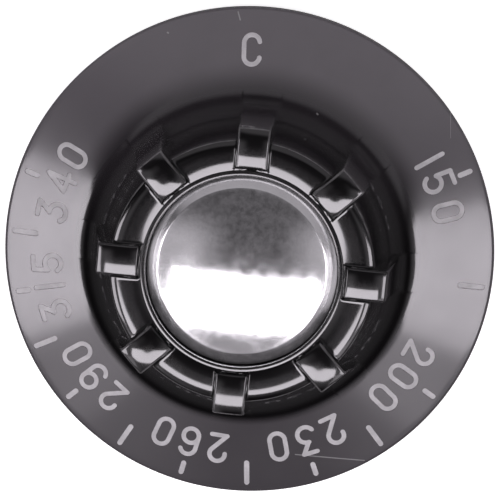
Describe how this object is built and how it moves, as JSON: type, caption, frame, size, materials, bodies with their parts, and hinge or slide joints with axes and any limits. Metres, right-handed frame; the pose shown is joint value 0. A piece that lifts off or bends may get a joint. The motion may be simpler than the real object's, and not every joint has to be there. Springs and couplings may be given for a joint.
{
  "type": "control knob",
  "caption": "Black moulded temperature dial knob with a sloping skirt for the scale, a ribbed grip hub, a polished metal face disc and a flatted hole for its shaft.",
  "frame": {"origin": "on the shaft axis, in the plane of the skirt's rear rim", "axes": "+Z along the shaft axis and out of the face, +Y towards the closed mark at the top of the scale"},
  "size_m": [0.0635, 0.0634, 0.019],
  "materials": {
    "black_moulding": "gloss",
    "polished_disc": "polished",
    "spring_steel": "satin"
  },
  "bodies": {
    "root": {"dial_body": "black_moulding", "face_disc": "polished_disc", "shaft_spring": "spring_steel"}
  },
  "joints": []
}
